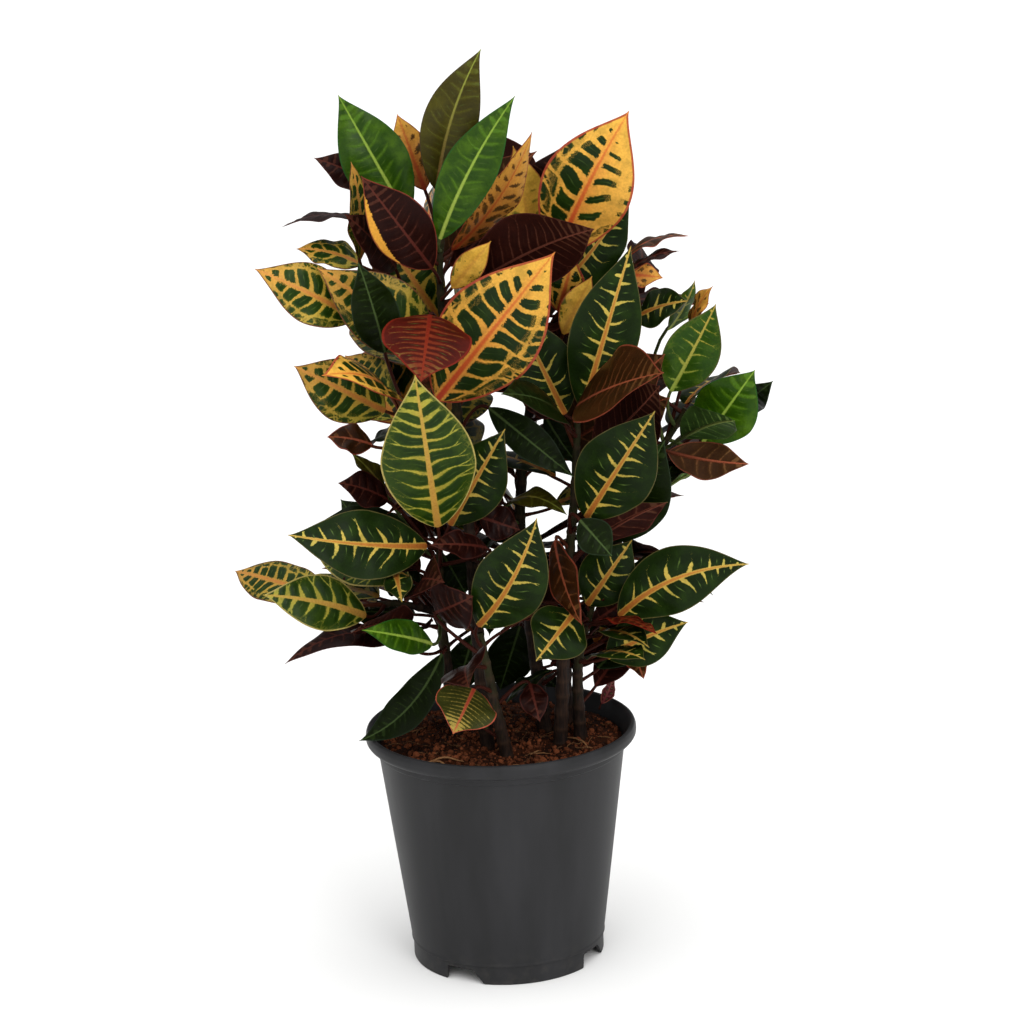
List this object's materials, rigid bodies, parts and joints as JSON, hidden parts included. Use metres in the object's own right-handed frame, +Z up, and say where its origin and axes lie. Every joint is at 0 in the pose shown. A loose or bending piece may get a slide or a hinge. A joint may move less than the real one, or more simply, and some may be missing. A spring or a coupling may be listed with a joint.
{
  "type": "potted croton",
  "caption": "Upright bushy houseplant with large stiff colour-veined leaves on woody stems, standing in soil in a plain tapered grow pot.",
  "frame": {"origin": "middle of the pot's foot ring, on the surface that the pot stands on", "axes": "+Z up the pot's axis; +X to the plant's right as the picture shows it; -Y towards the viewer"},
  "size_m": [0.4185, 0.3262, 0.7049],
  "materials": {
    "pot_plastic": "satin moulded polypropylene, dark grey",
    "potting_soil": "damp peat and bark potting mix",
    "dead_leaf": "dry curled leaf",
    "foliage": "glossy leathery blades with coloured veins, woody bark on the stems"
  },
  "bodies": {
    "root": {"pot": "pot_plastic", "soil": "potting_soil", "fallen_leaf": "dead_leaf", "stem_tall_left": "foliage", "stem_upper_right": "foliage", "stem_right": "foliage", "stem_middle_right": "foliage", "stem_low_left": "foliage", "stem_low_right": "foliage", "stem_short_front": "foliage"}
  },
  "joints": []
}
